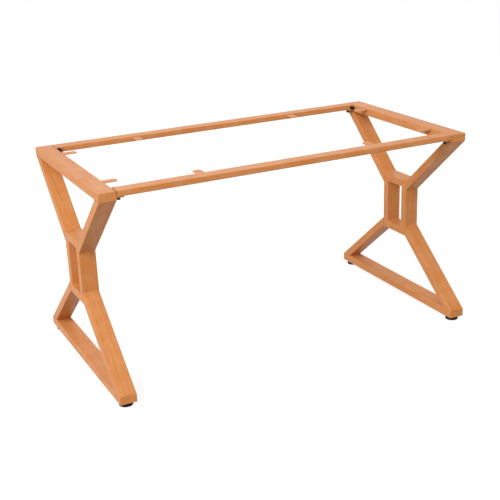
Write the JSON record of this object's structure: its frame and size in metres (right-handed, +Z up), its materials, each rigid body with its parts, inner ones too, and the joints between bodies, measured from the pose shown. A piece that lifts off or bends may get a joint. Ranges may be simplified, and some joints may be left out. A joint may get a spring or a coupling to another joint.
{
  "type": "table base",
  "caption": "Steel table base with waisted tubular end frames, rails between them, tabs for a table top and levelling feet.",
  "frame": {"origin": "on the floor, under the middle of the base", "axes": "+X along the rails, +Z up, -Y the front"},
  "size_m": [1.4, 0.77, 0.73],
  "materials": {
    "wood_look_coating": "satin wood-look coating, honey orange, with a soft lengthwise grain",
    "zinc_plated_steel": "bright zinc plating",
    "black_steel": "black oxide",
    "black_plastic": "moulded black plastic"
  },
  "bodies": {
    "base": {"left_top_beam": "wood_look_coating", "left_top_beam_end_plates": "wood_look_coating", "left_bottom_beam": "wood_look_coating", "left_bottom_beam_end_plates": "wood_look_coating", "left_waist_bridge_upper": "wood_look_coating", "left_waist_bridge_lower": "wood_look_coating", "left_rail_cleats": "wood_look_coating", "left_upper_leg_front": "wood_look_coating", "left_lower_leg_front": "wood_look_coating", "left_waist_column_front": "wood_look_coating", "left_upper_leg_back": "wood_look_coating", "left_lower_leg_back": "wood_look_coating", "left_waist_column_back": "wood_look_coating", "left_foot_inserts": "zinc_plated_steel", "left_beam_brackets": "wood_look_coating", "right_top_beam": "wood_look_coating", "right_top_beam_end_plates": "wood_look_coating", "right_bottom_beam": "wood_look_coating", "right_bottom_beam_end_plates": "wood_look_coating", "right_waist_bridge_upper": "wood_look_coating", "right_waist_bridge_lower": "wood_look_coating", "right_rail_cleats": "wood_look_coating", "right_upper_leg_front": "wood_look_coating", "right_lower_leg_front": "wood_look_coating", "right_waist_column_front": "wood_look_coating", "right_upper_leg_back": "wood_look_coating", "right_lower_leg_back": "wood_look_coating", "right_waist_column_back": "wood_look_coating", "right_foot_inserts": "zinc_plated_steel", "right_beam_brackets": "wood_look_coating", "front_rail": "wood_look_coating", "front_rail_brackets": "wood_look_coating", "front_rail_nuts": "zinc_plated_steel", "front_rail_screws": "black_steel", "front_rail_washers": "black_steel", "front_rail_lock_washers": "black_steel", "back_rail": "wood_look_coating", "back_rail_brackets": "wood_look_coating", "back_rail_nuts": "zinc_plated_steel", "back_rail_screws": "black_steel", "back_rail_washers": "black_steel", "back_rail_lock_washers": "black_steel"},
    "foot_front_left": {"foot_front_left_stud": "zinc_plated_steel", "foot_front_left_pad": "black_plastic"},
    "foot_front_right": {"foot_front_right_stud": "zinc_plated_steel", "foot_front_right_pad": "black_plastic"},
    "foot_back_left": {"foot_back_left_stud": "zinc_plated_steel", "foot_back_left_pad": "black_plastic"},
    "foot_back_right": {"foot_back_right_stud": "zinc_plated_steel", "foot_back_right_pad": "black_plastic"}
  },
  "joints": [
    {"name": "foot_front_left_level", "type": "slide", "parent": "base", "child": "foot_front_left", "axis": [0, 0, -1], "range_m": [0, 0.01]},
    {"name": "foot_front_right_level", "type": "slide", "parent": "base", "child": "foot_front_right", "axis": [0, 0, -1], "range_m": [0, 0.01]},
    {"name": "foot_back_left_level", "type": "slide", "parent": "base", "child": "foot_back_left", "axis": [0, 0, -1], "range_m": [0, 0.01]},
    {"name": "foot_back_right_level", "type": "slide", "parent": "base", "child": "foot_back_right", "axis": [0, 0, -1], "range_m": [0, 0.01]}
  ]
}
